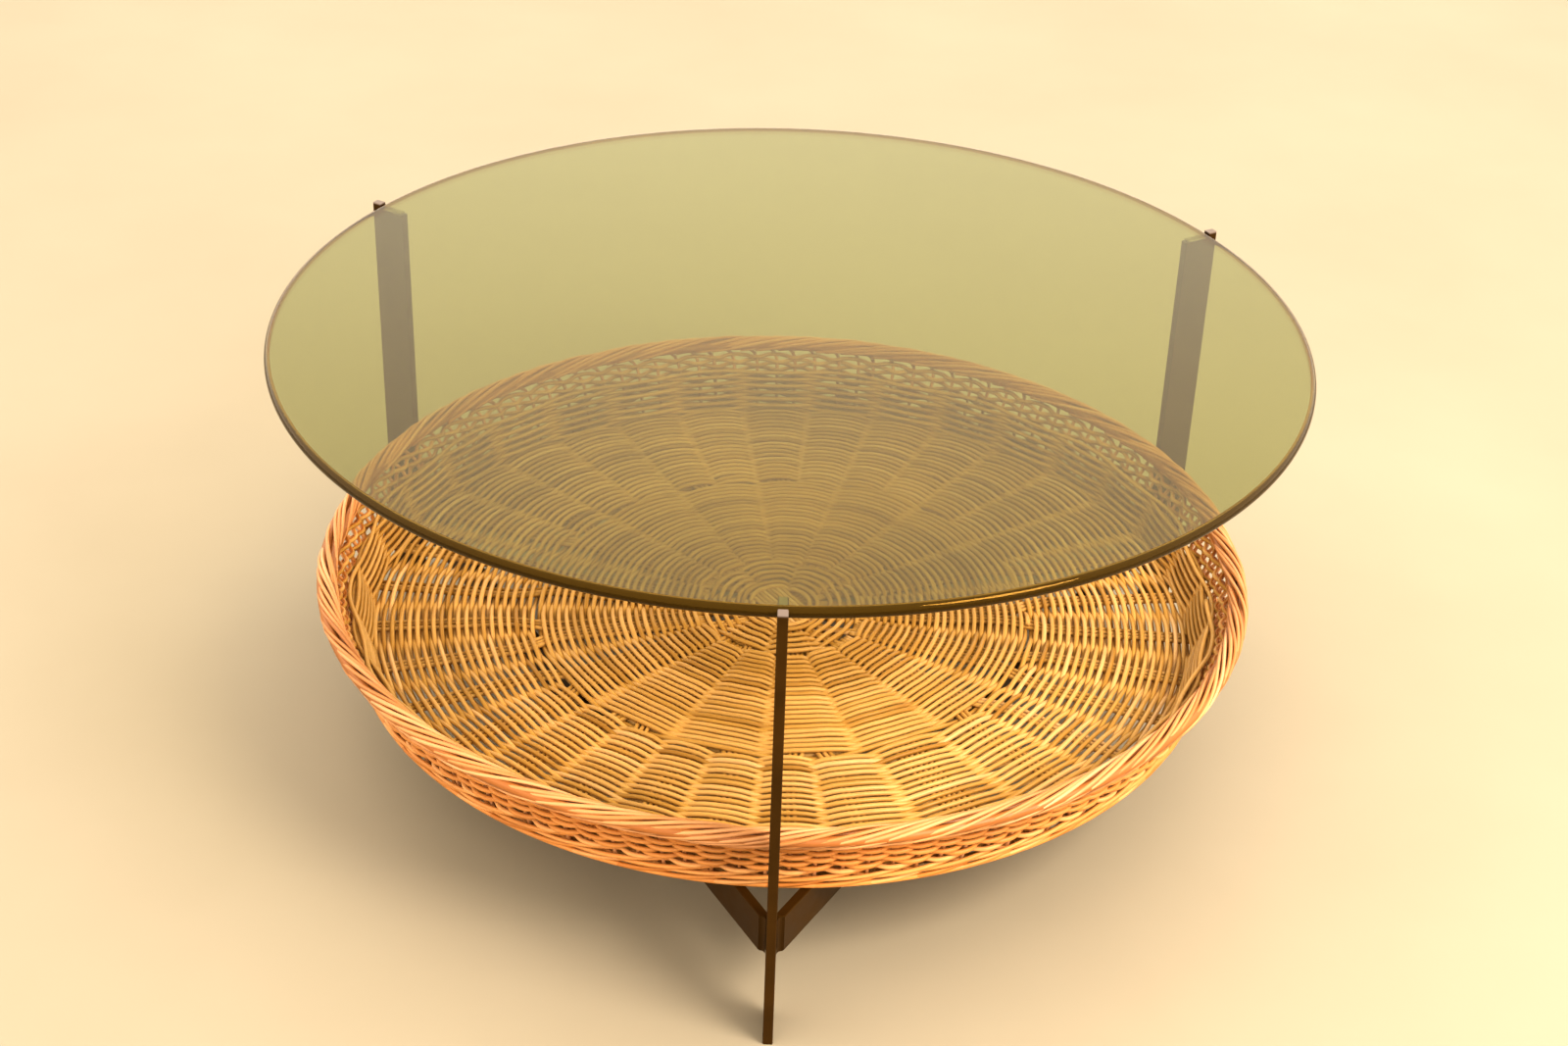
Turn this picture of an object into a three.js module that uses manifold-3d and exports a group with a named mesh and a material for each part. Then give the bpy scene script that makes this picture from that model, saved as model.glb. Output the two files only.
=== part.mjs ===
// A round coffee table. A glass top rests on three upright flat steel bars, which a
// triangle of flat rails joins near the floor, and a wide shallow wicker basket
// stands on those rails between the legs.
// Millimetres, +Z up. The origin is on the floor, on the table's vertical axis, and
// one leg stands towards -Y. Every piece keeps a small gap to the pieces it touches.

import * as THREE from "three";
import { mergeVertices } from "three/addons/utils/BufferGeometryUtils.js";
import Module from "manifold-3d";

const wasm = await Module();
wasm.setup();

// ---- Driving dimensions ----

const TOP_DIAMETER = 900;
const TABLE_HEIGHT = 407;
const GLASS_THICKNESS = 10;
const BAR_DEPTH = 35; // flat steel bar, the same stock everywhere
const BAR_THICKNESS = 8;
const RAIL_TOP = 102;
const BASKET_DIAMETER = 846;
const BASKET_HEIGHT = 78;
const ROD = 4.2; // one willow rod
const SPOKES = 17; // bundles of rods that radiate from the middle
const SPOKE_TURN = 2; // degrees, how the first bundle stands to +X
const WHOLE_SPOKE = 15; // the one bundle that does not part in two
const GAP = 0.3; // left between pieces that touch
const ROUND_STEPS = 72; // flats on a full turn

// ---- Sizes worked out from them ----

const TAU = 2 * Math.PI;

const TOP_RADIUS = TOP_DIAMETER / 2;
const LIP = 8.9; // the leg's lip, outside the glass
const LIP_GAP = 0.6;
const LEG_OUTER = TOP_RADIUS + LIP_GAP + LIP;
const LEG_INNER = LEG_OUTER - BAR_DEPTH;
const PAD_THICKNESS = 1.5;
const GLASS_UNDERSIDE = TABLE_HEIGHT - GLASS_THICKNESS;
const LEG_SEAT = GLASS_UNDERSIDE - 2 * GAP - PAD_THICKNESS;

const BASKET_BOTTOM = RAIL_TOP + GAP;
const BASKET_TOP = RAIL_TOP + BASKET_HEIGHT;
const RIM_RADIUS = BASKET_DIAMETER / 2;
const FLOOR_TOP = BASKET_BOTTOM + 3 * ROD; // a weaver, a spoke and a weaver
const SLATH_RADIUS = 73; // the woven cross in the middle
const FORK_RADIUS = 227; // where each bundle of spokes parts in two
const FLOOR_RADIUS = 372;
const FOOT_RADIUS = 392; // the outside of the wall, low down
const FOOT_BULGE_Z = 108;
const WALL_TOP_RADIUS = 410; // the outside of the wall, under the border
const WALL_THICKNESS = 3 * ROD;
const FOOT_WALE_TOP = 136;
const BORDER_HEIGHT = 19;
const BORDER_WIDTH = 23;
const BORDER_BOTTOM = BASKET_TOP - BORDER_HEIGHT;

const STEEL = { color: 0x2e241c, roughness: 0.42, metalness: 0.75 };
const WELD = { color: 0x3a2f27, roughness: 0.5, metalness: 0.75 };
const PAD = { color: 0xd8d6cc, roughness: 0.6, metalness: 0 };
const SMOKED_GLASS = { color: 0x8b8a5e, roughness: 0.03, metalness: 0 };
const WILLOW_FLOOR = { color: 0xd9a85c, roughness: 0.55, metalness: 0 };
const WILLOW_SPOKE = { color: 0xcb9850, roughness: 0.55, metalness: 0 };
const WILLOW_WALL = { color: 0xdb9a66, roughness: 0.55, metalness: 0 };

// ---- Shared helpers ----

function meshNamed(name, geometry, look) {
  const mesh = new THREE.Mesh(geometry, new THREE.MeshStandardMaterial(look));
  mesh.name = name;
  return mesh;
}

// Extrudes the outline through [x, y] corners along +Z, from 0 to height. An edge
// above 0 breaks the sharp edges and leaves the outside size alone.
function extruded(corners, height, edge = 0) {
  const shape = new THREE.Shape(corners.map(([x, y]) => new THREE.Vector2(x, y)));
  const geometry = new THREE.ExtrudeGeometry(shape, {
    depth: height - 2 * edge,
    bevelEnabled: edge > 0,
    bevelThickness: edge,
    bevelSize: edge,
    bevelOffset: -edge,
    bevelSegments: 1,
  });
  geometry.translate(0, 0, edge);
  return geometry;
}

// Turns a [radius, z] profile about the Z axis. The profile runs anticlockwise, and
// it starts and ends on the axis or closes on itself.
function turned(profile) {
  const points = profile.map(([radius, z]) => new THREE.Vector2(radius, z));
  const geometry = new THREE.LatheGeometry(points, ROUND_STEPS);
  geometry.rotateX(Math.PI / 2);
  return geometry;
}

// Points along an arc of an ellipse, from one angle to another.
function arc([x, y], [radiusX, radiusY], from, to, steps) {
  const points = [];
  for (let i = 0; i <= steps; i += 1) {
    const angle = from + ((to - from) * i) / steps;
    points.push([x + radiusX * Math.cos(angle), y + radiusY * Math.sin(angle)]);
  }
  return points;
}

// Holds meshes drawn with +X as a radius of the table, turned to a direction.
function atAzimuth(degrees, ...meshes) {
  const group = new THREE.Group();
  group.rotation.z = THREE.MathUtils.degToRad(degrees);
  group.add(...meshes);
  return group;
}

function toSolid(geometry) {
  const plain = geometry.clone();
  plain.deleteAttribute("normal");
  plain.deleteAttribute("uv");
  const merged = mergeVertices(plain, 1e-3);
  return new wasm.Manifold(
    new wasm.Mesh({
      numProp: 3,
      vertProperties: new Float32Array(merged.attributes.position.array),
      triVerts: new Uint32Array(merged.index.array),
    }),
  );
}

function toGeometry(solid) {
  const mesh = solid.getMesh();
  const geometry = new THREE.BufferGeometry();
  geometry.setAttribute("position", new THREE.BufferAttribute(mesh.vertProperties, 3));
  geometry.setIndex(new THREE.BufferAttribute(mesh.triVerts, 1));
  geometry.computeVertexNormals();
  return geometry;
}

// ---- Steel frame ----

const STEEL_EDGE = 0.6; // the broken edge of the bar stock
const LEG_SPACING = 60; // degrees from the middle of a rail to a leg
const LEGS = [
  { name: "front", azimuth: -90 },
  { name: "back_right", azimuth: 30 },
  { name: "back_left", azimuth: 150 },
];

// A leg is one upright bar, edge on to the table. A notch in its top takes the
// glass, and leaves a lip outside the glass's edge.
function legGeometry() {
  const corners = [
    [LEG_INNER, 0],
    [LEG_OUTER, 0],
    [LEG_OUTER, TABLE_HEIGHT],
    [LEG_OUTER - LIP, TABLE_HEIGHT],
    [LEG_OUTER - LIP, LEG_SEAT],
    [LEG_INNER, LEG_SEAT],
  ];
  const geometry = extruded(corners, BAR_THICKNESS, STEEL_EDGE);
  geometry.rotateX(Math.PI / 2);
  geometry.translate(0, BAR_THICKNESS / 2, 0);
  return geometry;
}

// The soft pad on the floor of a leg's notch, under the glass.
function padGeometry() {
  const length = 20;
  const width = 6.4;
  const middle = (LEG_INNER + TOP_RADIUS) / 2;
  const geometry = new THREE.BoxGeometry(length, width, PAD_THICKNESS);
  geometry.translate(middle, 0, LEG_SEAT + GAP + PAD_THICKNESS / 2);
  return geometry;
}

// A rail is a bar on edge between two legs, drawn across +X. Its ends are cut to
// butt on the inner edges of the legs, beside the ends of the other two rails.
function railGeometry() {
  const toLeg = THREE.MathUtils.degToRad(LEG_SPACING);
  const cut = LEG_INNER - GAP;
  const fromLegMiddle = 1;
  const innerX = cut * Math.cos(toLeg) + fromLegMiddle * Math.sin(toLeg);
  const outerX = innerX + BAR_THICKNESS;
  const endY = (x) => (cut - x * Math.cos(toLeg)) / Math.sin(toLeg);
  const corners = [
    [innerX, -endY(innerX)],
    [outerX, -endY(outerX)],
    [outerX, endY(outerX)],
    [innerX, endY(innerX)],
  ];
  const geometry = extruded(corners, BAR_DEPTH, STEEL_EDGE);
  geometry.translate(0, 0, RAIL_TOP - BAR_DEPTH);
  return geometry;
}

// A hollow fillet of weld up the corner between a leg's side and a rail's end.
// side is 1 or -1.
function weldGeometry(side) {
  const size = 5.2;
  const legSide = BAR_THICKNESS / 2 + GAP;
  const hollow = arc(
    [LEG_INNER + size, legSide + size],
    [size, size],
    Math.PI,
    1.5 * Math.PI,
    5,
  );
  const corners = [[LEG_INNER, legSide], ...hollow];
  const geometry = extruded(
    corners.map(([x, y]) => [x, side * y]),
    BAR_DEPTH,
  );
  geometry.translate(0, 0, RAIL_TOP - BAR_DEPTH);
  return geometry;
}

function steelFrame() {
  const frame = new THREE.Group();
  for (const { name, azimuth } of LEGS) {
    frame.add(
      atAzimuth(
        azimuth,
        meshNamed(`leg_${name}`, legGeometry(), STEEL),
        meshNamed(`weld_${name}_a`, weldGeometry(1), WELD),
        meshNamed(`weld_${name}_b`, weldGeometry(-1), WELD),
        meshNamed(`glass_pad_${name}`, padGeometry(), PAD),
      ),
    );
  }
  const rails = [
    { name: "rail_right", azimuth: -30 },
    { name: "rail_back", azimuth: 90 },
    { name: "rail_left", azimuth: 210 },
  ];
  for (const { name, azimuth } of rails) {
    frame.add(atAzimuth(azimuth, meshNamed(name, railGeometry(), STEEL)));
  }
  return frame;
}

// ---- Glass top ----

// A disc with a fully rounded edge.
function glassTop() {
  const edge = GLASS_THICKNESS / 2;
  const middleZ = GLASS_UNDERSIDE + edge;
  const rounded = arc(
    [TOP_RADIUS - edge, middleZ],
    [edge, edge],
    -Math.PI / 2,
    Math.PI / 2,
    6,
  );
  const profile = [[0, GLASS_UNDERSIDE], ...rounded, [0, TABLE_HEIGHT]];
  return meshNamed("glass_top", turned(profile), SMOKED_GLASS);
}

// ---- Wicker basket ----

// Half widths of a bundle of six spokes, and of each branch of three. All the
// bundles but one part, so the groups round the edge are an odd number, and a weaver
// that goes over and under in turn comes round on the other side each time.
const BUNDLE_HALF = 3 * ROD;
const BRANCH_HALF = 1.5 * ROD;
const BRANCH_ANGLE = TAU / SPOKES / 4;
const STEM_END = FORK_RADIUS - 32;
const CROTCH = FORK_RADIUS - 22;
const BRANCH_START = FORK_RADIUS + 28;

// A bundle that keeps together, seen from above along +X, from one radius to another.
// grow widens it.
function wholeSpokeCorners(start, end, grow) {
  const half = BUNDLE_HALF + grow;
  return [[start, -half], [end, -half], [end, half], [start, half]];
}

// The Y of a bundle that parts in two.
function partedSpokeCorners(start, end, grow) {
  const onBranch = (radius, side) => [
    radius * Math.cos(BRANCH_ANGLE) - side * Math.sin(BRANCH_ANGLE),
    radius * Math.sin(BRANCH_ANGLE) + side * Math.cos(BRANCH_ANGLE),
  ];
  const stem = BUNDLE_HALF + grow;
  const branch = BRANCH_HALF + grow;
  const half = [
    [start, stem],
    [STEM_END, stem],
    onBranch(BRANCH_START, branch),
    onBranch(end, branch),
    onBranch(end, -branch),
    onBranch(BRANCH_START, -branch),
  ];
  const mirrored = half.map(([x, y]) => [x, -y]).reverse();
  return [...half, [CROTCH + 2 * grow, 0], ...mirrored];
}

const SPOKE_START = SLATH_RADIUS + 2 * GAP;
const SPOKE_END = FLOOR_RADIUS - ROD;

// The bundles count from 1.
function spokeCorners(number, start, end, grow) {
  const corners = number === WHOLE_SPOKE ? wholeSpokeCorners : partedSpokeCorners;
  return corners(start, end, grow);
}

function spokeAzimuth(number) {
  return SPOKE_TURN + (360 * (number - 1)) / SPOKES;
}

function spokeGeometry(number) {
  const corners = spokeCorners(number, SPOKE_START, SPOKE_END, 0);
  const geometry = extruded(corners, ROD);
  geometry.translate(0, 0, BASKET_BOTTOM + ROD);
  return geometry;
}

// The channel that a bundle lies in. It opens downwards.
function channelSolid(number) {
  const below = 1;
  const start = SLATH_RADIUS - BUNDLE_HALF;
  const corners = spokeCorners(number, start, SPOKE_END + GAP, GAP);
  const channel = extruded(corners, below + 2 * ROD + GAP);
  channel.translate(0, 0, BASKET_BOTTOM - below);
  channel.rotateZ(THREE.MathUtils.degToRad(spokeAzimuth(number)));
  return toSolid(channel);
}

function spokeChannels() {
  let all = channelSolid(1);
  for (let number = 2; number <= SPOKES; number += 1) {
    all = all.add(channelSolid(number));
  }
  return all;
}

// A flat ring of the basket's floor, with the spokes' channels in its underside.
function floorRing(inner, outer, channels) {
  const ring = turned([
    [inner, BASKET_BOTTOM],
    [outer, BASKET_BOTTOM],
    [outer, FLOOR_TOP],
    [inner, FLOOR_TOP],
    [inner, BASKET_BOTTOM],
  ]);
  return toGeometry(toSolid(ring).subtract(channels));
}

function slathGeometry() {
  return turned([
    [0, BASKET_BOTTOM],
    [SLATH_RADIUS, BASKET_BOTTOM],
    [SLATH_RADIUS, FLOOR_TOP],
    [0, FLOOR_TOP],
  ]);
}

// The outside radius of the wall, which leans outwards as it rises.
function wallRadius(z) {
  const rise = (z - FOOT_BULGE_Z) / (BORDER_BOTTOM - FOOT_BULGE_Z);
  return FOOT_RADIUS + (WALL_TOP_RADIUS - FOOT_RADIUS) * rise;
}

// The thick twisted foot of the wall, round the edge of the floor.
function footWaleGeometry() {
  const inner = FLOOR_RADIUS + GAP;
  const top = FOOT_WALE_TOP;
  const round = FOOT_BULGE_Z - BASKET_BOTTOM;
  const foot = arc(
    [FOOT_RADIUS - round, FOOT_BULGE_Z],
    [round, round],
    -Math.PI / 2,
    0,
    3,
  );
  return turned([
    [inner, BASKET_BOTTOM],
    ...foot,
    [wallRadius(top), top],
    [wallRadius(top) - WALL_THICKNESS, top],
    [inner, FLOOR_TOP + ROD],
    [inner, BASKET_BOTTOM],
  ]);
}

// The openwork band of the wall, between the foot and the border.
function wallWeaveGeometry() {
  const low = FOOT_WALE_TOP + GAP;
  const high = BORDER_BOTTOM - GAP;
  return turned([
    [wallRadius(low) - WALL_THICKNESS, low],
    [wallRadius(low), low],
    [wallRadius(high), high],
    [wallRadius(high) - WALL_THICKNESS, high],
    [wallRadius(low) - WALL_THICKNESS, low],
  ]);
}

// The rolled border round the top.
function borderGeometry() {
  const half = [BORDER_WIDTH / 2, BORDER_HEIGHT / 2];
  const middle = [RIM_RADIUS - half[0], BASKET_TOP - half[1]];
  return turned(arc(middle, half, -Math.PI, Math.PI, 12));
}

function basket() {
  const group = new THREE.Group();
  const channels = spokeChannels();
  const innerRing = floorRing(SLATH_RADIUS + GAP, FORK_RADIUS, channels);
  const outerRing = floorRing(FORK_RADIUS + GAP, FLOOR_RADIUS, channels);
  group.add(
    meshNamed("basket_slath", slathGeometry(), WILLOW_FLOOR),
    meshNamed("basket_floor_inner", innerRing, WILLOW_FLOOR),
    meshNamed("basket_floor_outer", outerRing, WILLOW_FLOOR),
    meshNamed("basket_foot_wale", footWaleGeometry(), WILLOW_WALL),
    meshNamed("basket_wall", wallWeaveGeometry(), WILLOW_WALL),
    meshNamed("basket_border", borderGeometry(), WILLOW_WALL),
  );
  for (let number = 1; number <= SPOKES; number += 1) {
    const name = `basket_spokes_${String(number).padStart(2, "0")}`;
    const spoke = meshNamed(name, spokeGeometry(number), WILLOW_SPOKE);
    group.add(atAzimuth(spokeAzimuth(number), spoke));
  }
  return group;
}

const table = new THREE.Group();
table.add(steelFrame(), glassTop(), basket());

export default table;
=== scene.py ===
# A round coffee table with a smoked glass top on a flat steel frame, and a wide
# wicker basket on the rails. Metres, +Z up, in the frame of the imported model.
import math

import bpy
import numpy as np
from mathutils import Matrix, Vector


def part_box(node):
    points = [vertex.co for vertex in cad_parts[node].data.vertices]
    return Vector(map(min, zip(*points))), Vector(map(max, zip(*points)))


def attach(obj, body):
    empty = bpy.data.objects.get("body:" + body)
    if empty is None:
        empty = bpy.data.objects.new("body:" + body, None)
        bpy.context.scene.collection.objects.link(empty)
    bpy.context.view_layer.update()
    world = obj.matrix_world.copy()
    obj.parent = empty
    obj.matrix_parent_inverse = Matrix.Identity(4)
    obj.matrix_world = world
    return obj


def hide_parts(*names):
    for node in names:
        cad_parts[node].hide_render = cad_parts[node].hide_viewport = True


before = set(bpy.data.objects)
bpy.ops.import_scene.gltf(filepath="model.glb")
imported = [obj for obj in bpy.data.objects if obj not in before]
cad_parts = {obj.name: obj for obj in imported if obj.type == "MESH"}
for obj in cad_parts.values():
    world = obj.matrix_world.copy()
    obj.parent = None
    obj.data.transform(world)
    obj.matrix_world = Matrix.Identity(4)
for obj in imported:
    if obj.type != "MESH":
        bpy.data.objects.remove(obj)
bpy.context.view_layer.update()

random = np.random.default_rng(11)

TAU = 2 * math.pi
MM = 0.001


# ---- Sizes, read from the frame ----

def radius_of(node):
    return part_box(node)[1][0]


def low_of(node):
    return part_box(node)[0][2]


def high_of(node):
    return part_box(node)[1][2]


SLATH_RADIUS = radius_of("basket_slath")
FORK_RADIUS = radius_of("basket_floor_inner")
FLOOR_RADIUS = radius_of("basket_floor_outer")
FLOOR_LOW = low_of("basket_floor_outer")
FLOOR_HIGH = high_of("basket_floor_outer")
ROD = (FLOOR_HIGH - FLOOR_LOW) / 3
FLOOR_MIDDLE = (FLOOR_HIGH + FLOOR_LOW) / 2
WALE_LOW = low_of("basket_foot_wale")
WALE_HIGH = high_of("basket_foot_wale")
WALL_LOW = low_of("basket_wall")
WALL_HIGH = high_of("basket_wall")
WALL_LOW_RADIUS = radius_of("basket_foot_wale")
WALL_HIGH_RADIUS = radius_of("basket_wall")
BORDER_LOW = low_of("basket_border")
BORDER_HIGH = high_of("basket_border")
BORDER_RADIUS = radius_of("basket_border")
BORDER_WIDTH = 20 * MM


# ---- The weave, in counts, turns and spacing ----

BUNDLES = 17
BUNDLE_RODS = 6
BUNDLE_TURN = math.radians(2)
WHOLE_BUNDLE = 14  # counted from 0, the bundle that does not fork
FORK_HALF_ANGLE = TAU / BUNDLES / 4
FORK_LENGTH = 60 * MM
SMALL_OPENINGS = 26
SLATH_RODS = 8
WEAVER = 1.03 * ROD
INNER_PITCH = 3.5 * MM
OUTER_PITCH = 3.8 * MM
TURNED_UP_TURNS = 12
STAKES = 60
STAKE_TURN = math.radians(2)
WALE_ROUNDS = 2
WALE_STRANDS = 3
FOOT_ROWS = 3
WALL_ROWS = 6
ROLL_START = math.radians(-75)
ROLL_TURN = math.radians(290)
ROLL_RUN = 27  # degrees that a border rod travels round the rim


# ---- Camera ----

def make_camera():
    """The photograph's view. Pitch is how far the camera looks down."""
    place = (-0.00454, -1.90277, 1.35971)
    yaw = math.radians(-0.118)
    pitch = math.radians(31.246)
    roll = math.radians(2.033)
    ahead = math.cos(pitch)
    forward = Vector((-math.sin(yaw) * ahead, math.cos(yaw) * ahead, -math.sin(pitch)))
    level_right = Vector((math.cos(yaw), math.sin(yaw), 0))
    level_up = level_right.cross(forward)
    right = math.cos(roll) * level_right + math.sin(roll) * level_up
    up = math.cos(roll) * level_up - math.sin(roll) * level_right
    data = bpy.data.cameras.new("camera")
    data.sensor_width = 36
    data.lens = 56.12
    camera = bpy.data.objects.new("camera", data)
    turn = Matrix((right, up, -forward)).transposed().to_4x4()
    camera.matrix_world = Matrix.Translation(place) @ turn
    bpy.context.scene.collection.objects.link(camera)
    bpy.context.scene.camera = camera


# ---- Node helpers ----

class Nodes:
    """A short way to write a material's node tree."""

    def __init__(self, name):
        self.material = bpy.data.materials.new(name)
        self.material.use_nodes = True
        self.tree = self.material.node_tree
        self.tree.nodes.clear()
        self.output = self.tree.nodes.new("ShaderNodeOutputMaterial")

    def add(self, kind, inputs=None, **settings):
        node = self.tree.nodes.new(kind)
        for key, value in settings.items():
            setattr(node, key, value)
        for key, value in (inputs or {}).items():
            self.join(value, node.inputs[key])
        return node

    def join(self, value, socket):
        if isinstance(value, bpy.types.NodeSocket):
            self.tree.links.new(value, socket)
        else:
            socket.default_value = value

    def attribute(self, name):
        return self.add("ShaderNodeAttribute", attribute_name=name)

    def scaled(self, vector, scale):
        node = self.add("ShaderNodeVectorMath", {0: vector, 1: scale}, operation="MULTIPLY")
        return node.outputs[0]

    def noise(self, vector, scale, detail=3, roughness=0.55):
        inputs = {"Vector": vector, "Scale": scale, "Detail": detail, "Roughness": roughness}
        return self.add("ShaderNodeTexNoise", inputs).outputs["Fac"]

    def ranged(self, value, low, high, to_low=0.0, to_high=1.0):
        """The value, taken from the range low to high into another range."""
        inputs = {"Value": value, "From Min": low, "From Max": high}
        inputs.update({"To Min": to_low, "To Max": to_high})
        return self.add("ShaderNodeMapRange", inputs).outputs[0]

    def ramp(self, value, stops):
        """A colour for the value, from stops of a place and a colour."""
        node = self.add("ShaderNodeValToRGB", {"Fac": value})
        ramp = node.color_ramp
        while len(ramp.elements) < len(stops):
            ramp.elements.new(0.5)
        for element, (place, colour) in zip(ramp.elements, stops):
            element.position = place
            element.color = (*colour, 1)
        return node.outputs["Color"]

    def mixed(self, factor, a, b, blend="MIX"):
        node = self.add("ShaderNodeMix", data_type="RGBA", blend_type=blend)
        self.join(factor, node.inputs["Factor"])
        self.join(a if isinstance(a, bpy.types.NodeSocket) else (*a, 1), node.inputs["A"])
        self.join(b if isinstance(b, bpy.types.NodeSocket) else (*b, 1), node.inputs["B"])
        return node.outputs["Result"]

    def bump(self, height, strength, distance):
        inputs = {"Height": height, "Strength": strength, "Distance": distance}
        return self.add("ShaderNodeBump", inputs).outputs[0]

    def finish(self, shader):
        self.tree.links.new(shader, self.output.inputs["Surface"])
        return self.material


# ---- Materials ----

def willow(name, tones, stain, inside=None):
    """Peeled willow: each rod has its own tone, with long streaks and a few stains.
    inside gives other tones for the sides that face the middle of the basket."""
    n = Nodes(name)
    tone = n.attribute("tone").outputs["Fac"]
    grain = n.attribute("grain").outputs["Vector"]
    place = n.add("ShaderNodeTexCoord").outputs["Object"]
    streaks = n.noise(n.scaled(grain, (60, 900, 900)), 1.0, 4)
    mottle = n.noise(n.scaled(grain, (28, 60, 60)), 1.0, 3)
    colour = n.ramp(tone, tones)
    if inside:
        level = {0: n.scaled(place, (1, 1, 0))}
        outward = n.add("ShaderNodeVectorMath", level, operation="NORMALIZE").outputs[0]
        normal = n.add("ShaderNodeTexCoord").outputs["Normal"]
        both = {0: outward, 1: normal}
        facing = n.add("ShaderNodeVectorMath", both, operation="DOT_PRODUCT")
        inward = n.ranged(facing.outputs["Value"], -0.1, -0.6)
        colour = n.mixed(inward, colour, n.ramp(tone, inside))
    dark_streak = n.ranged(streaks, 0.5, 0.8, 0, 0.22)
    colour = n.mixed(dark_streak, colour, stain)
    patches = n.ranged(mottle, 0.55, 0.85, 0, 0.3)
    colour = n.mixed(patches, colour, stain)
    wide = n.ranged(n.noise(place, 7.0, 2), 0.3, 0.7, 0.88, 1.1)
    shade = n.add("ShaderNodeCombineColor", {0: wide, 1: wide, 2: wide}).outputs[0]
    colour = n.mixed(1.0, colour, shade, "MULTIPLY")
    rough = n.ranged(streaks, 0.3, 0.7, 0.33, 0.52)
    bump = n.bump(streaks, 0.35, 0.0004)
    inputs = {"Base Color": colour, "Roughness": rough, "Normal": bump}
    shader = n.add("ShaderNodeBsdfPrincipled", inputs)
    shader.inputs["Specular IOR Level"].default_value = 0.38
    return n.finish(shader.outputs[0])


def dark_steel():
    """Thin dark brown paint on flat steel bar, with a painted highlight, a paler colour, on top
    of the lips.
    """
    n = Nodes("dark_steel")
    place = n.add("ShaderNodeTexCoord").outputs["Object"]
    cloud = n.noise(place, 30.0, 5)
    fine = n.noise(place, 900.0, 2)
    colour = n.ramp(cloud, [(0.3, (0.026, 0.011, 0.001)), (0.7, (0.042, 0.018, 0.002))])
    height = n.add("ShaderNodeSeparateXYZ", {0: place}).outputs["Z"]
    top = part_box("leg_front")[1][2]
    # Painted highlight: a pale colour along the top of the lips, where they catch the light.
    top_highlight = n.ranged(height, top - 1.6 * MM, top - 0.4 * MM, 0, 0.85)
    colour = n.mixed(top_highlight, colour, (0.17, 0.135, 0.12))
    rough = n.ranged(cloud, 0.3, 0.7, 0.34, 0.52)
    bump = n.bump(fine, 0.12, 0.0002)
    inputs = {"Base Color": colour, "Roughness": rough, "Normal": bump}
    shader = n.add("ShaderNodeBsdfPrincipled", inputs)
    shader.inputs["Specular Tint"].default_value = (1.0, 0.55, 0.10, 1)
    shader.inputs["Specular IOR Level"].default_value = 0.36
    return n.finish(shader.outputs[0])


def clear_pad():
    """The soft milky plastic of the pads under the glass."""
    n = Nodes("clear_pad")
    place = n.add("ShaderNodeTexCoord").outputs["Object"]
    cloud = n.noise(place, 200.0, 3)
    colour = n.ramp(cloud, [(0.3, (0.30, 0.27, 0.19)), (0.7, (0.40, 0.37, 0.28))])
    bump = n.bump(cloud, 0.1, 0.0002)
    inputs = {"Base Color": colour, "Roughness": 0.4, "Normal": bump}
    shader = n.add("ShaderNodeBsdfPrincipled", inputs)
    return n.finish(shader.outputs[0])


def smoked_glass(name, tint, clearness):
    """Smoked glass with faint smears. Shadows and soft light pass straight through it,
    tinted."""
    n = Nodes(name)
    place = n.add("ShaderNodeTexCoord").outputs["Object"]
    smears = n.noise(n.scaled(place, (3, 9, 3)), 1.0, 4)
    rough = n.ranged(smears, 0.5, 0.8, 0.0, 0.012)
    glass = n.add("ShaderNodeBsdfPrincipled", {"Roughness": rough})
    glass.inputs["Base Color"].default_value = (*tint, 1)
    glass.inputs["Specular Tint"].default_value = (0.80, 0.47, 0.11, 1)
    glass.inputs["Transmission Weight"].default_value = clearness
    glass.inputs["IOR"].default_value = 1.5
    clear = n.add("ShaderNodeBsdfTransparent")
    clear.inputs["Color"].default_value = (0.66, 0.62, 0.50, 1)
    path = n.add("ShaderNodeLightPath")
    rays = {0: path.outputs["Is Shadow Ray"], 1: path.outputs["Is Diffuse Ray"]}
    unseen = n.add("ShaderNodeMath", rays, operation="MAXIMUM").outputs[0]
    inputs = {0: unseen, 1: glass.outputs[0], 2: clear.outputs[0]}
    return n.finish(n.add("ShaderNodeMixShader", inputs).outputs[0])


def pale_floor():
    """A plain pale floor with very faint clouds."""
    n = Nodes("pale_floor")
    place = n.add("ShaderNodeTexCoord").outputs["Object"]
    cloud = n.noise(place, 1.5, 4)
    colour = n.ramp(cloud, [(0.3, (0.305, 0.256, 0.180)), (0.7, (0.330, 0.281, 0.203))])
    shader = n.add("ShaderNodeBsdfPrincipled", {"Base Color": colour, "Roughness": 0.7})
    return n.finish(shader.outputs[0])


# ---- Rods ----

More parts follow.
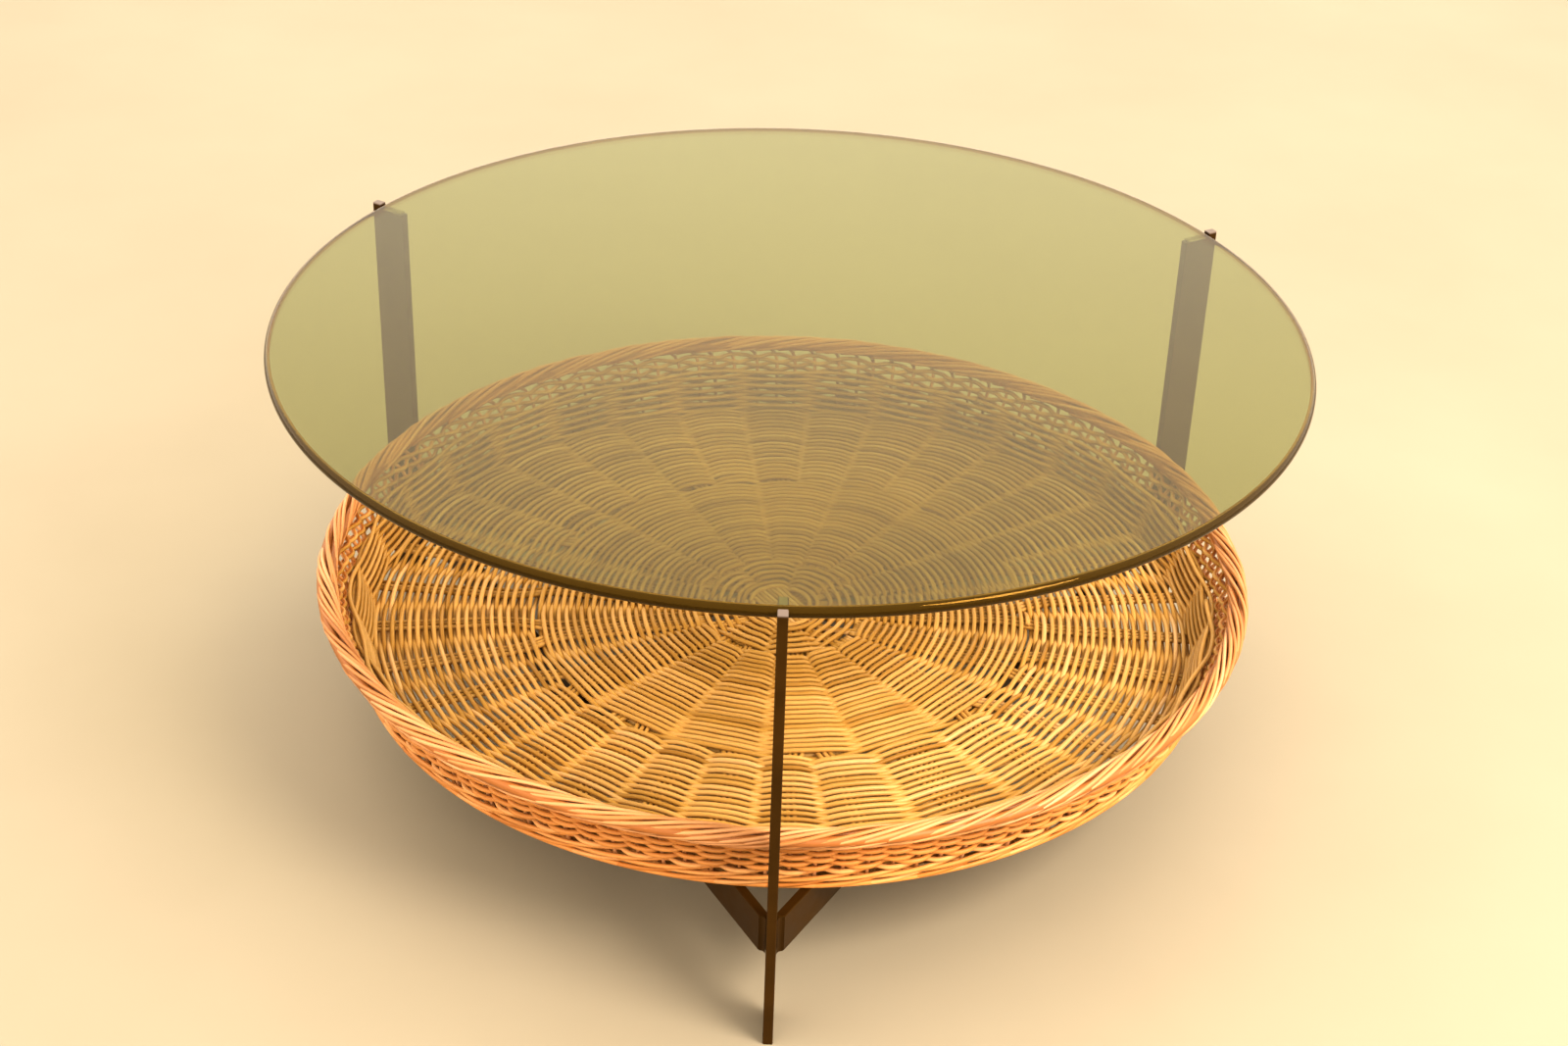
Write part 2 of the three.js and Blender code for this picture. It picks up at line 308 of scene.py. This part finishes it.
class Rods:
    """Round rods gathered into one mesh. For the material, tone gives each rod its own
    shade, and grain is a place along the rod and across it."""

    def __init__(self, sides=8):
        self.sides = sides
        self.points = []
        self.tones = []
        self.grains = []
        self.corners = []
        self.counts = []
        self.total = 0

    def add(self, points, radius, facing, tone, closed=False):
        """points is the middle line of the rod, and facing is any direction across it."""
        points = np.asarray(points, float)
        if closed:
            tangent = np.roll(points, -1, 0) - np.roll(points, 1, 0)
        else:
            tangent = np.gradient(points, axis=0)
        tangent /= np.linalg.norm(tangent, axis=1)[:, None]
        facing = np.broadcast_to(np.asarray(facing, float), points.shape)
        side = np.cross(tangent, facing)
        side /= np.linalg.norm(side, axis=1)[:, None]
        up = np.cross(side, tangent)
        turn = np.arange(self.sides) / self.sides * TAU
        radius = np.broadcast_to(np.asarray(radius, float), len(points))
        cos, sin = np.cos(turn), np.sin(turn)
        around = side[:, None] * cos[:, None] + up[:, None] * sin[:, None]
        rings = points[:, None] + radius[:, None, None] * around
        steps = np.linalg.norm(np.diff(points, axis=0), axis=1)
        along = np.concatenate([[0], np.cumsum(steps)]) + random.uniform(0, 50)
        grain = np.empty(rings.shape)
        grain[..., 0] = along[:, None]
        grain[..., 1] = radius[:, None] * cos
        grain[..., 2] = radius[:, None] * sin
        self.points.append(rings.reshape(-1, 3))
        self.grains.append(grain.reshape(-1, 3))
        self.tones.append(np.full(rings.shape[0] * self.sides, tone))
        self._faces(len(points), closed)
        self.total += len(points) * self.sides

    def _faces(self, count, closed):
        rows = np.arange(count if closed else count - 1)
        after = (rows + 1) % count
        around = np.arange(self.sides)
        beside = (around + 1) % self.sides
        quads = np.stack([
            rows[:, None] * self.sides + around,
            after[:, None] * self.sides + around,
            after[:, None] * self.sides + beside,
            rows[:, None] * self.sides + beside,
        ], axis=-1)
        self.corners.append(quads.reshape(-1) + self.total)
        self.counts.append(np.full(quads.size // 4, 4))
        if not closed:
            first = around + self.total
            last = around[::-1] + self.total + (count - 1) * self.sides
            self.corners.append(np.concatenate([first, last]))
            self.counts.append(np.array([self.sides, self.sides]))

    def build(self, name, material):
        corners = np.concatenate(self.corners).astype(np.int32)
        counts = np.concatenate(self.counts)
        starts = np.concatenate([[0], np.cumsum(counts)[:-1]]).astype(np.int32)
        mesh = bpy.data.meshes.new(name)
        mesh.vertices.add(self.total)
        mesh.vertices.foreach_set("co", np.concatenate(self.points).ravel())
        mesh.loops.add(len(corners))
        mesh.loops.foreach_set("vertex_index", corners)
        mesh.polygons.add(len(counts))
        mesh.polygons.foreach_set("loop_start", starts)
        mesh.polygons.foreach_set("use_smooth", np.ones(len(counts), bool))
        mesh.update(calc_edges=True)
        mesh.validate()
        tone = mesh.attributes.new("tone", "FLOAT", "POINT")
        tone.data.foreach_set("value", np.concatenate(self.tones))
        grain = mesh.attributes.new("grain", "FLOAT_VECTOR", "POINT")
        grain.data.foreach_set("vector", np.concatenate(self.grains).ravel())
        mesh.materials.append(material)
        piece = bpy.data.objects.new(name, mesh)
        bpy.context.scene.collection.objects.link(piece)
        return piece


def polar(radius, angle, height):
    """Points from arrays of radius, angle and height."""
    shape = np.broadcast(radius, angle, height).shape
    points = np.empty((*shape, 3))
    points[..., 0] = radius * np.cos(angle)
    points[..., 1] = radius * np.sin(angle)
    points[..., 2] = height
    return points


def smooth(value):
    """0 to 1, with level ends."""
    value = np.clip(value, 0, 1)
    return value * value * (3 - 2 * value)


def wobble(angle, amount, waves=(2, 3, 5, 8, 13)):
    """A slow uneven wave round a ring, different each time."""
    total = np.zeros_like(angle)
    for wave in waves:
        total += random.normal() * np.sin(wave * angle + random.uniform(0, TAU))
    return total * amount / math.sqrt(len(waves))


def rod_tone():
    """A rod's place in its material's ramp of tones."""
    return float(np.clip(random.normal(0.52, 0.16), 0, 1))


def rod_radius():
    """No two rods are quite as thick as each other."""
    return ROD / 2 * float(np.clip(random.normal(1.0, 0.05), 0.88, 1.1))


# ---- The weave of the floor ----

class Groups:
    """The azimuths of the spokes that a weaver passes over and under, in turn. A
    phase counts them, and goes on counting from one turn to the next."""

    def __init__(self, azimuths, half_width):
        self.azimuths = sorted(azimuths)
        self.count = len(self.azimuths)
        self.half_width = half_width

    def angle(self, phase):
        places = np.array(self.azimuths + [self.azimuths[0] + TAU])
        turns = np.floor(phase / self.count)
        within = phase - turns * self.count
        return turns * TAU + np.interp(within, np.arange(self.count + 1), places)

    def swing(self, phase, radius):
        """1 over the middle of a group, -1 under the next, and level across each."""
        nearest = np.round(phase)
        side = 1 - 2 * np.mod(nearest, 2)
        flat = np.clip(self.half_width * self.count / (TAU * radius), 0, 0.33)
        dive = np.clip((np.abs(phase - nearest) - flat) / (1 - 2 * flat), 0, 1)
        return side * np.cos(math.pi * dive)


def bundle_azimuth(index):
    return BUNDLE_TURN + TAU * index / BUNDLES


def branch_azimuths():
    """Two branches for each bundle that forks, and the one that stays whole."""
    azimuths = [bundle_azimuth(WHOLE_BUNDLE)]
    for i in range(BUNDLES):
        if i != WHOLE_BUNDLE:
            azimuths.append(bundle_azimuth(i) - FORK_HALF_ANGLE)
            azimuths.append(bundle_azimuth(i) + FORK_HALF_ANGLE)
    return azimuths


def openings():
    """Where the rods are pushed apart: radius, azimuth, half width and opening. There is
    one in the fork of each bundle, and a few smaller ones."""
    places = []
    for i in range(BUNDLES):
        opening = random.uniform(0.2, 1.4) * MM
        if i != WHOLE_BUNDLE:
            places.append((FORK_RADIUS + 1.5 * MM, bundle_azimuth(i), 0.018, opening))
        near = random.uniform(1.0, 2.0) * MM
        places.append((SLATH_RADIUS + 2 * MM, bundle_azimuth(i + 0.5), 0.007, near))
    for _ in range(SMALL_OPENINGS):
        radius = random.uniform(0.24, 0.36)
        azimuth = random.uniform(0, TAU)
        places.append((radius, azimuth, 0.012, random.uniform(0.5, 1.9) * MM))
    return places


OPENINGS = openings()


def parted(radius, angle):
    """How far the rods at a place are pushed by the openings near it."""
    total = 0
    for at, azimuth, half_width, opening in OPENINGS:
        apart = radius - at
        turned = np.mod(angle - azimuth + math.pi, TAU) - math.pi
        near = np.exp(-((apart / (10 * MM)) ** 2)) * np.exp(-((turned * at / half_width) ** 2))
        total = total + opening * np.tanh(apart / (1.5 * MM)) * near
    return total


def drift(radius, angle):
    """The slow unevenness that neighbouring rods share."""
    waves = 0.7 * np.sin(2 * angle + 31 * radius) + 0.35 * np.sin(5 * angle - 55 * radius + 2)
    return MM * (waves + 0.25 * np.sin(11 * angle + 90 * radius + 1))


def spiral_weave(rods, start, end, pitch, groups, steps):
    """Rods laid end to end in a spiral, over one group of spokes and under the next.
    An odd number of groups puts each turn on the other side from the one before."""
    turns = (end - start) / pitch
    phase = np.arange(int(turns * groups.count) * steps + 1) / steps
    angle = groups.angle(phase)
    base = start + pitch * (angle - angle[0]) / TAU
    swing = groups.swing(phase, base)
    radius = base + drift(base, angle) + parted(base, angle)
    points = polar(radius, angle, FLOOR_MIDDLE + 0 * angle)
    reach = np.concatenate([[0], np.cumsum(np.linalg.norm(np.diff(points, axis=0), axis=1))])
    ends = np.flatnonzero(np.mod(phase, 2) == 1)
    first = 0
    while first < len(phase) - 2:
        wanted = reach[first] + random.uniform(0.9, 1.7)
        later = ends[reach[ends] > wanted]
        last = int(later[0]) if len(later) else len(phase) - 1
        part = slice(first, last + 1)
        along = (reach[part] - reach[first]) / max(reach[last] - reach[first], MM)
        thick = WEAVER / 2 * random.normal(1.0, 0.03)
        radii = thick * (1.07 - 0.14 * along)
        lift = ROD * random.uniform(0.86, 0.96) * swing[part]
        lift = lift + wobble(angle[part], 0.10 * MM, (7, 13, 21))
        aside = wobble(angle[part], 0.13 * MM, (3, 5, 8, 17))
        line = polar(radius[part] + aside, angle[part], FLOOR_MIDDLE + lift)
        rods.add(line, radii, (0, 0, 1), rod_tone())
        first = last


def floor_weave(material):
    """The weave over whole bundles, and beyond the forks the weave over branches."""
    inner = Rods()
    groups = Groups([bundle_azimuth(i) for i in range(BUNDLES)], 2.2 * ROD)
    start, end = SLATH_RADIUS + 0.5 * ROD, FORK_RADIUS - 0.1 * ROD
    spiral_weave(inner, start, end, INNER_PITCH, groups, 12)
    piece = inner.build("floor_weave_inner", material)
    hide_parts("basket_floor_inner")
    yield piece
    outer = Rods()
    groups = Groups(branch_azimuths(), 1.3 * ROD)
    start, end = FORK_RADIUS + 0.2 * ROD, FLOOR_RADIUS + 2.2 * ROD
    spiral_weave(outer, start, end, OUTER_PITCH, groups, 8)
    piece = outer.build("floor_weave_outer", material)
    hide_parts("basket_floor_outer")
    yield piece


def spoke_bundle(index, material):
    """Rods side by side, of which half go each way where the bundle forks."""
    rods = Rods()
    half = BUNDLE_RODS // 2
    radius = np.linspace(SLATH_RADIUS - 0.5 * ROD, FLOOR_RADIUS + 2.6 * ROD, 64)
    parting = smooth((radius - FORK_RADIUS + FORK_LENGTH / 2) / FORK_LENGTH)
    spread = 0.98 + 0.24 * smooth((radius - SLATH_RADIUS) / (90 * MM))
    if index == WHOLE_BUNDLE:
        parting = 0 * parting
    for j in range(BUNDLE_RODS):
        stem = (j - (BUNDLE_RODS - 1) / 2) * ROD * spread
        branch = -1 if j < half else 1
        within = j % half - (half - 1) / 2
        beside = branch * radius * math.sin(FORK_HALF_ANGLE) + within * 1.25 * ROD
        across = stem + (beside - stem) * parting
        bow = MM * 0.3 * np.sin(radius * random.uniform(60, 90) + random.uniform(0, TAU))
        angle = bundle_azimuth(index) + (across + bow) / radius
        height = FLOOR_MIDDLE + 0.2 * MM * np.sin(radius * 300 + random.uniform(0, TAU))
        points = polar(radius, angle, height)
        rods.add(points, 0.97 * rod_radius(), (0, 0, 1), rod_tone())
    piece = rods.build(f"spoke_bundle_{index + 1:02d}", material)
    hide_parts(f"basket_spokes_{index + 1:02d}")
    return piece


def turned_up_rows(material):
    """The floor's last rows, which climb the inside of the wall over the same spokes."""
    rods = Rods()
    groups = Groups(branch_azimuths(), 1.3 * ROD)
    steps = 8
    bottom = FLOOR_MIDDLE + 0.8 * ROD
    top = WALL_LOW + 0.62 * (WALL_HIGH - WALL_LOW)
    phase = np.arange(TURNED_UP_TURNS * groups.count * steps + 1) / steps
    angle = groups.angle(phase)
    climb = (angle - angle[0]) / (TURNED_UP_TURNS * TAU)
    height = bottom + climb * (top - bottom)
    swing = groups.swing(phase, FLOOR_RADIUS)
    radius = stake_radius(height) - ROD * (2.1 + 0.8 * swing) + 0.4 * drift(FLOOR_RADIUS, angle)
    ends = np.flatnonzero(np.mod(phase, 2) == 1)
    breaks = [0, *ends[:: groups.count // 4], len(phase) - 1]
    for first, last in zip(breaks[:-1], breaks[1:]):
        part = slice(first, last + 1)
        line = polar(radius[part], angle[part], height[part])
        rods.add(line, 1.02 * rod_radius(), (0, 0, 1), rod_tone())
    return rods.build("floor_turned_up", material)


def bound_round(rods, start, end, count, groups, steps):
    """Rings of binding in the slath, in turn over and under."""
    phase = np.arange(groups.count * steps) / steps
    angle = groups.angle(phase)
    for i in range(count):
        base = start + (end - start) * i / (count - 1)
        side = 1 if i % 2 == 0 else -1
        swing = side * groups.swing(phase, base)
        height = FLOOR_MIDDLE + ROD * swing + wobble(angle, 0.12 * MM, (3, 7, 13))
        points = polar(base + wobble(angle, 0.12 * MM), angle, height)
        rods.add(points, WEAVER / 2, (0, 0, 1), rod_tone(), closed=True)


def slath(material):
    """The middle: two layers of rods crossed square. They are bound round in four arms
    and then in eight, and fan out to the bundles."""
    rods = Rods()
    quarter = TAU / 4
    first = bundle_azimuth(1.5)
    cross = SLATH_RODS / 2 * ROD
    distance = np.linspace(-SLATH_RADIUS - ROD, SLATH_RADIUS + ROD, 49)
    for layer in range(2):
        along = first + layer * quarter
        for j in range(SLATH_RODS):
            offset = (j - (SLATH_RODS - 1) / 2) * ROD * 1.04
            fan = ((j // 2) - 1.5) * TAU / 16 + ((j % 2) - 0.5) * 0.075
            spread = smooth((np.abs(distance) - 1.2 * cross) / (SLATH_RADIUS - 1.2 * cross))
            straight = np.full_like(distance, offset)
            fanned = np.abs(distance) * math.tan(fan)
            y = straight + (fanned - straight) * spread
            crossing = 1 - smooth((np.abs(distance) - 1.4 * cross) / (14 * MM))
            z = FLOOR_MIDDLE + (0.5 if layer else -0.5) * ROD * crossing
            cos, sin = math.cos(along), math.sin(along)
            points = np.stack([distance * cos - y * sin, distance * sin + y * cos, z], 1)
            rods.add(points, rod_radius(), (0, 0, 1), rod_tone())
    arms = Groups([first + quarter * i for i in range(4)], 4 * ROD)
    binding = cross * 1.55
    bound_round(rods, binding, binding + 3 * INNER_PITCH, 4, arms, 28)
    eighths = Groups([first + quarter * (i + 0.5) / 2 for i in range(8)], 2 * ROD)
    bound_round(rods, binding + 4.4 * INNER_PITCH, SLATH_RADIUS - 0.5 * ROD, 8, eighths, 18)
    piece = rods.build("slath", material)
    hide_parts("basket_slath")
    return piece


# ---- The wall ----

def stake_radius(height):
    """Where the middles of the upright stakes stand, at a height."""
    lean = (WALL_HIGH_RADIUS - WALL_LOW_RADIUS) / (WALL_HIGH - WALL_LOW)
    return WALL_LOW_RADIUS + lean * (height - WALL_LOW) - 1.5 * ROD


def plain_rows(rods, low, high, rows, first=0):
    """Rows that pass in front of one upright rod and behind the next. Each row is on the
    other side from the row below, or nearly: none keeps quite even time."""
    steps = STAKES * 12
    angle = np.arange(steps) / steps * TAU
    spacing = (high - low) / rows
    for i in range(rows):
        level = low + spacing * (i + 0.5)
        lag = math.pi * (i + first) + random.uniform(-0.5, 0.5) + wobble(angle, 0.3)
        behind = (0.5 - 0.5 * np.cos(STAKES * (angle - STAKE_TURN) + lag)) ** 1.6
        radius = stake_radius(level) + ROD * (1.1 - 1.7 * behind) + wobble(angle, 0.15 * MM)
        height = level + wobble(angle, 0.45 * MM)
        rods.add(polar(radius, angle, height), rod_radius(), (0, 0, 1), rod_tone(), closed=True)


def foot_wale(material):
    """One rod round the bottom, then rounds of strands, like rope, then plain rows. Each
    strand passes outside two stakes, where it climbs over its neighbour, and then behind
    one."""
    rods = Rods()
    rise = (WALE_HIGH - WALE_LOW) / 2 / WALE_ROUNDS
    steps = STAKES * 9
    angle = np.arange(steps) / steps * TAU
    for i in range(WALE_ROUNDS):
        for strand in range(WALE_STRANDS):
            counted = (angle - STAKE_TURN) / TAU * STAKES - strand - 0.5 * i
            place = np.mod(counted, WALE_STRANDS)
            climb = np.where(place < 2, place - 1, 1 - 2 * (place - 2))
            outside = 0.5 - 0.5 * np.cos(np.clip(place / 2, 0, 1) * TAU)
            outside = np.where(place < 2, outside ** 0.45, -np.sin((place - 2) * math.pi))
            level = WALE_LOW + rise * (i + 0.5) + wobble(angle, 0.3 * MM)
            height = np.maximum(level + 0.56 * rise * climb, WALE_LOW + 0.5 * ROD)
            radius = stake_radius(level) + ROD * (0.15 + 1.15 * outside)
            radius = radius + wobble(angle, 0.2 * MM)
            points = polar(radius, angle, height)
            rods.add(points, 0.92 * rod_radius(), (0, 0, 1), rod_tone(), closed=True)
    edge = stake_radius(WALE_LOW) + 1.35 * ROD
    bottom = polar(edge, angle, WALE_LOW + 0.5 * ROD)
    rods.add(bottom, rod_radius(), (0, 0, 1), rod_tone(), closed=True)
    plain_rows(rods, WALE_LOW + WALE_ROUNDS * rise, WALE_HIGH, FOOT_ROWS)
    piece = rods.build("foot_wale", material)
    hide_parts("basket_foot_wale")
    return piece


def wall_rows(material):
    """The open rows between the foot and the border."""
    rods = Rods()
    plain_rows(rods, WALL_LOW, WALL_HIGH + 0.6 * ROD, WALL_ROWS, first=1)
    piece = rods.build("wall_rows", material)
    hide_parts("basket_wall")
    return piece


def border(material):
    """Stakes, each with a second rod half way to the next. They rise through the wall
    and roll over the rim: up the outside, across the top and down inside."""
    rods = Rods()
    half_width = BORDER_WIDTH / 2 - ROD / 2
    half_height = (BORDER_HIGH - BORDER_LOW) / 2 - ROD / 2
    core_radius = BORDER_RADIUS - BORDER_WIDTH / 2
    core_height = (BORDER_HIGH + BORDER_LOW) / 2
    for k in range(STAKES):
        stake = STAKE_TURN + TAU * k / STAKES + random.normal(0, 0.003)
        for second in range(2):
            start = stake + second * math.pi / STAKES
            run = math.radians(random.normal(ROLL_RUN, 1.2))
            t = np.linspace(0, 1, 40)
            tilt = ROLL_START + ROLL_TURN * t
            angle = start + run * (t + 0.02 * np.sin(TAU * t))
            proud = 1 + 0.05 * math.sin(k * 2.4) - 0.10 * abs(random.normal())
            sway = 0.07 * np.sin(3 * math.pi * t + random.uniform(0, TAU))
            radius = core_radius + half_width * (proud * np.cos(tilt) + sway)
            flat = 1 - 0.06 * abs(random.normal())
            height = core_height + half_height * flat * np.sin(tilt)
            rise_height = np.linspace(FLOOR_MIDDLE, BORDER_LOW - ROD, 12)
            rise = polar(stake_radius(rise_height), np.full(12, start), rise_height)
            roll = polar(radius, angle, height)
            points = relaxed(np.concatenate([rise, roll]))
            outward = polar(np.cos(tilt), angle, np.sin(tilt))
            up_wall = np.broadcast_to([-math.sin(stake), math.cos(stake), 0], rise.shape)
            facing = relaxed(np.concatenate([up_wall, outward]))
            rods.add(points, 0.84 * rod_radius(), facing, rod_tone())
    steps = 240
    angle = np.arange(steps) / steps * TAU
    # The core rings stand for the rods inside the roll. They take the darkest tone, as painted
    # shade where they show through the gaps.
    for inset in (-0.5, 0.5):
        ring = polar(core_radius + inset * half_width, angle, core_height)
        rods.add(ring, 0.66 * half_height, (0, 0, 1), 0.0, closed=True)
    piece = rods.build("border", material)
    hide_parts("basket_border")
    return piece


def relaxed(points, rounds=3):
    """Evens out the kinks of an open line and keeps its ends."""
    points = points.copy()
    for _ in range(rounds):
        points[1:-1] = 0.25 * points[:-2] + 0.5 * points[1:-1] + 0.25 * points[2:]
    return points


def make_basket():
    """Every piece of the basket, on the basket's body. Tones run from dark to light."""
    floor_tones = [
        (0.0, (0.32, 0.158, 0.020)),
        (0.35, (0.46, 0.258, 0.055)),
        (0.7, (0.57, 0.346, 0.115)),
        (1.0, (0.65, 0.425, 0.205)),
    ]
    rim_tones = [
        (0.0, (0.35, 0.132, 0.030)),
        (0.35, (0.52, 0.234, 0.078)),
        (0.7, (0.64, 0.335, 0.150)),
        (1.0, (0.72, 0.445, 0.245)),
    ]
    foot_tones = [
        (0.0, (0.35, 0.114, 0.013)),
        (0.35, (0.52, 0.204, 0.036)),
        (0.7, (0.63, 0.290, 0.082)),
        (1.0, (0.70, 0.390, 0.160)),
    ]
    floor = willow("willow_floor", floor_tones, (0.24, 0.080, 0.008))
    spokes = willow("willow_spokes", floor_tones, (0.22, 0.075, 0.008))
    wall = willow("willow_wall", foot_tones, (0.24, 0.060, 0.010), inside=floor_tones)
    rim = willow("willow_rim", rim_tones, (0.26, 0.075, 0.016))
    made = [(piece, "willow_floor") for piece in floor_weave(floor)]
    made.append((turned_up_rows(floor), "willow_floor"))
    made.append((slath(floor), "willow_floor"))
    for i in range(BUNDLES):
        made.append((spoke_bundle(i, spokes), "willow_spokes"))
    made.append((foot_wale(wall), "willow_wall"))
    made.append((wall_rows(wall), "willow_wall"))
    made.append((border(rim), "willow_wall"))
    for piece, slot in made:
        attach(piece, "basket")


# ---- Glass top ----

def make_glass():
    """A disc with a round edge, which has a darker material of its own."""
    low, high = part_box("glass_top")
    radius = high[0]
    edge = (high[2] - low[2]) / 2
    middle = (high[2] + low[2]) / 2
    around, across = 288, 14
    bend = np.linspace(-math.pi / 2, math.pi / 2, across)
    turn = np.arange(around) / around * TAU
    rim = polar(
        (radius - edge + edge * np.cos(bend))[:, None],
        turn[None, :],
        (middle + edge * np.sin(bend))[:, None],
    ).reshape(-1, 3)
    under = list(range(around))[::-1]
    top = list(range((across - 1) * around, across * around))
    faces = [under, top]
    for i in range(across - 1):
        for j in range(around):
            a, b = i * around + j, i * around + (j + 1) % around
            faces.append([a, b, b + around, a + around])
    mesh = bpy.data.meshes.new("glass_disc")
    mesh.from_pydata(rim.tolist(), [], faces)
    mesh.polygons.foreach_set("use_smooth", [len(face) == 4 for face in faces])
    mesh.materials.append(smoked_glass("smoked_glass", (0.345, 0.375, 0.17), 1.0))
    mesh.materials.append(smoked_glass("smoked_glass_edge", (0.17, 0.09, 0.006), 0.85))
    mesh.polygons.foreach_set("material_index", [int(len(face) == 4) for face in faces])
    piece = bpy.data.objects.new("glass_disc", mesh)
    bpy.context.scene.collection.objects.link(piece)
    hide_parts("glass_top")
    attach(piece, "glass")


# ---- Steel frame ----

def paint(node, material):
    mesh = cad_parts[node].data
    mesh.materials.clear()
    mesh.materials.append(material)


def finish_frame():
    """The steel and the pads keep their CAD shapes."""
    steel, pad = dark_steel(), clear_pad()
    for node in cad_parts:
        if node.startswith(("leg_", "rail_", "weld_")):
            paint(node, steel)
        if node.startswith("glass_pad_"):
            paint(node, pad)


# ---- Floor and light ----

def make_stage():
    size = 40  # from the middle to each side
    mesh = bpy.data.meshes.new("studio_floor")
    corners = [(-size, -size, 0), (size, -size, 0), (size, size, 0), (-size, size, 0)]
    mesh.from_pydata(corners, [], [(0, 1, 2, 3)])
    mesh.materials.append(pale_floor())
    floor = bpy.data.objects.new("studio_floor", mesh)
    bpy.context.scene.collection.objects.link(floor)


def area_light(name, place, target, size, power, colour):
    data = bpy.data.lights.new(name, "AREA")
    data.shape = "DISK"
    data.size = size
    data.energy = power
    data.color = colour
    lamp = bpy.data.objects.new(name, data)
    lamp.location = place
    direction = Vector(target) - Vector(place)
    lamp.rotation_euler = direction.to_track_quat("-Z", "Y").to_euler()
    bpy.context.scene.collection.objects.link(lamp)


def make_light():
    """Warm light from all round, and one large soft lamp."""
    world = bpy.data.worlds.new("studio")
    world.use_nodes = True
    background = world.node_tree.nodes["Background"]
    background.inputs["Color"].default_value = (1.0, 0.93, 0.82, 1)
    background.inputs["Strength"].default_value = 2.7
    bpy.context.scene.world = world
    warm = (1.0, 0.93, 0.84)
    area_light("key", (1.9, -1.7, 2.6), (0, 0, 0.2), size=1.6, power=150, colour=warm)


bpy.context.scene.view_settings.view_transform = "Standard"
bpy.context.scene.view_settings.gamma = 0.8
make_camera()
make_stage()
make_light()
finish_frame()
make_glass()
make_basket()
